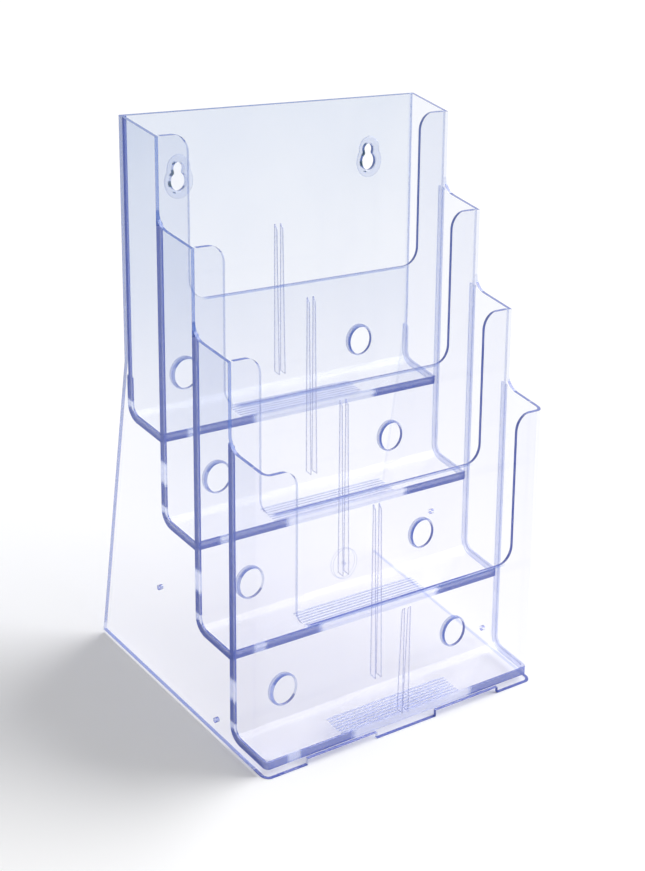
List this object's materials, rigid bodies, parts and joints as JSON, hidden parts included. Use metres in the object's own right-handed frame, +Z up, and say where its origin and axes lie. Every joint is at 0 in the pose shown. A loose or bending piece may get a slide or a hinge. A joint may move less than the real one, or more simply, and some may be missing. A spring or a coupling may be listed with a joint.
{
  "type": "magazine rack",
  "caption": "Clear plastic rack with stepped, leaning pockets for magazines, cut-away fronts with tall ears, divider guides, grip ribs and keyholes in its rear wall",
  "frame": {"origin": "middle of the bounding box, on the floor plane that the feet rest on", "axes": "+Z up, -Y towards the reader and the open fronts of the pockets, +Y to the rear, +X to the reader's right; the rack is symmetric about X = 0"},
  "size_m": [0.245, 0.2352, 0.343],
  "materials": {
    "side_panel": "clear polystyrene, polished, faint blue tint, edges deep blue",
    "front_panel": "clear polystyrene, polished, faint blue tint",
    "tray": "clear polystyrene sheet, polished, edges and joints blue-violet",
    "guide_rib": "clear polystyrene ribs, reading as thin blue lines",
    "grip_rib": "clear polystyrene ridges",
    "surround": "clear polystyrene, raised and rounded"
  },
  "bodies": {
    "root": {"side_panel_left": "side_panel", "side_panel_right": "side_panel", "front_panel": "front_panel", "tray_1_lowest": "tray", "tray_2": "tray", "tray_3": "tray", "tray_4_rear": "tray", "guide_ribs_front_panel": "guide_rib", "guide_ribs_tray_1": "guide_rib", "guide_ribs_tray_2": "guide_rib", "guide_ribs_tray_3": "guide_rib", "guide_ribs_tray_4": "guide_rib", "grip_ribs_floor_1": "grip_rib", "grip_ribs_floor_2": "grip_rib", "grip_ribs_floor_3": "grip_rib", "grip_ribs_floor_4": "grip_rib", "keyhole_surround_left": "surround", "keyhole_surround_right": "surround"}
  },
  "joints": []
}
